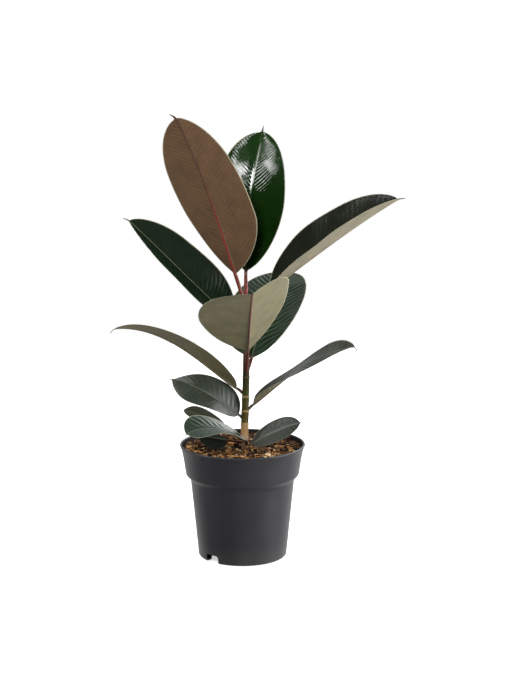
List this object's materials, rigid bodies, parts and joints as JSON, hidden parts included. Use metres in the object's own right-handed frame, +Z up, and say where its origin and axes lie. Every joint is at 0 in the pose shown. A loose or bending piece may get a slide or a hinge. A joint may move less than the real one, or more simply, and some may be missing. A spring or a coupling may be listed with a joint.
{
  "type": "potted rubber plant",
  "caption": "Young rubber plant with broad dark leathery leaves on a single stem, standing in a round plastic nursery pot filled with bark soil.",
  "frame": {"origin": "on the ground plane, on the axis of the pot, at the middle of the pot's flat underside", "axes": "+Z up along the pot's axis; -Y towards the front, from where the tall lower-surface leaf faces the viewer; +X to the viewer's right"},
  "size_m": [0.3847, 0.3933, 0.5988],
  "materials": {
    "pot": "anthracite moulded polypropylene, satin, with faint turning marks",
    "soil": "damp potting soil of fine bark and coir",
    "bark": "split pieces of pine bark, rough",
    "stem": "smooth young bark, tan and woody at the soil, green to red-brown above, with pale rings",
    "bud": "smooth pink-red sheath",
    "leaf": "glossy very dark green above with fine side veins, matte olive to red-brown below with a dark red midrib"
  },
  "bodies": {
    "root": {"pot": "pot", "soil": "soil", "stem": "stem", "apical_bud": "bud", "leaf_01": "leaf", "leaf_02": "leaf", "leaf_03": "leaf", "leaf_04": "leaf", "leaf_05": "leaf", "leaf_06": "leaf", "leaf_07": "leaf", "leaf_08": "leaf", "leaf_09": "leaf", "leaf_10": "leaf", "leaf_11": "leaf", "leaf_12": "leaf", "leaf_13": "leaf", "bark_chip_01": "bark", "bark_chip_02": "bark", "bark_chip_03": "bark", "bark_chip_04": "bark", "bark_chip_05": "bark", "bark_chip_06": "bark", "bark_chip_07": "bark", "bark_chip_08": "bark", "bark_chip_09": "bark", "bark_chip_10": "bark", "bark_chip_11": "bark", "bark_chip_12": "bark", "bark_chip_13": "bark", "bark_chip_14": "bark", "bark_chip_15": "bark", "bark_chip_16": "bark"}
  },
  "joints": []
}
